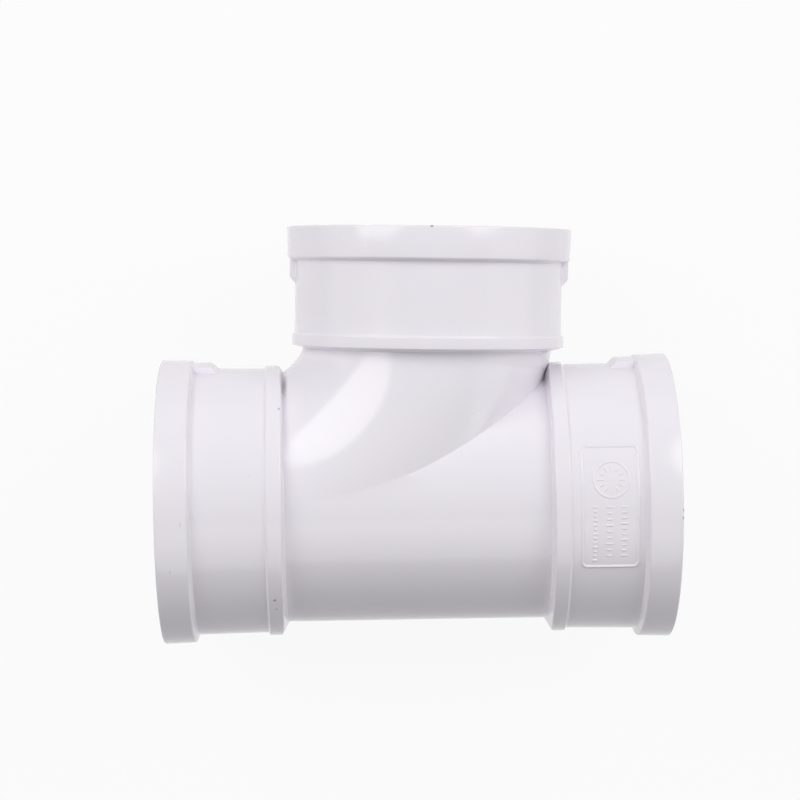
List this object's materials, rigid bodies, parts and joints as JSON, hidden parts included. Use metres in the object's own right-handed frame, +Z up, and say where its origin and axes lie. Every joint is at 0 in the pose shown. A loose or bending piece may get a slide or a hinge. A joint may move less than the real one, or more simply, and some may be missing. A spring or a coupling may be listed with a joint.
{
  "type": "pvc tee",
  "caption": "Swept drainage tee in white PVC: a straight tube and a curved branch, with a collared and beaded pipe socket at each end.",
  "frame": {"origin": "under the middle of the object's box, on the surface that the tee lies on", "axes": "+X along the run towards its short arm, +Y towards the branch, which leans 1.5 degrees to +X, +Z up, square to the plane of the two axes"},
  "size_m": [0.2214, 0.183, 0.125],
  "materials": {
    "white_pvc": "moulded white PVC, satin gloss"
  },
  "bodies": {
    "root": {"tee_body": "white_pvc"}
  },
  "joints": []
}
